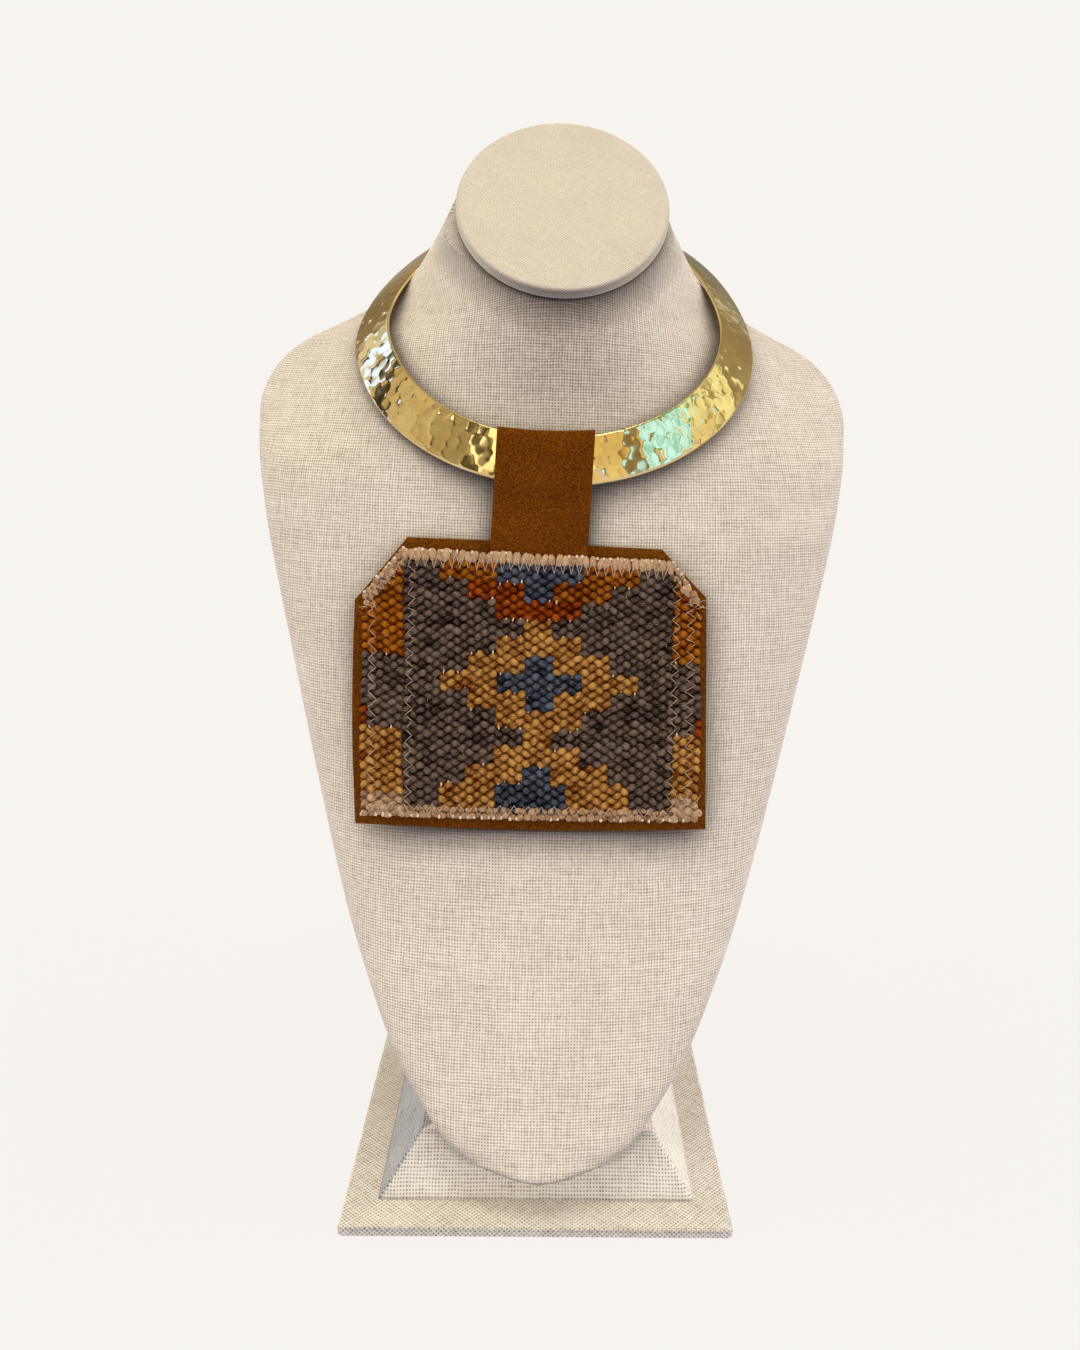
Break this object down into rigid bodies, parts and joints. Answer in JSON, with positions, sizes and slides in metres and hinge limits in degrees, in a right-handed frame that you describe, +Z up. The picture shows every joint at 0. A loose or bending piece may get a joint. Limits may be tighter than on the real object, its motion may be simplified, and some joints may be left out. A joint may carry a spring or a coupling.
{
  "type": "choker on a neck bust",
  "caption": "Hammered metal collar with a suede strap and a woven wool pendant, worn by a plain linen-covered neck bust on a square base.",
  "frame": {"origin": "centre of the base board's underside, where the bust stands on a table", "axes": "+X to the viewer's right and the wearer's left, +Y to the back of the bust, +Z up"},
  "size_m": [0.2118, 0.1657, 0.3486],
  "materials": {
    "linen": "plain-weave natural linen",
    "brass": "polished and hammered",
    "suede": "napped suede",
    "wool": "weft-faced wool weave"
  },
  "bodies": {
    "root": {"base_board": "linen", "riser": "linen", "neck_form": "linen", "neck_cap": "linen", "collar": "brass", "collar_clasp": "brass", "strap": "suede", "pendant_backing": "suede", "kilim_panel": "wool"}
  },
  "joints": []
}
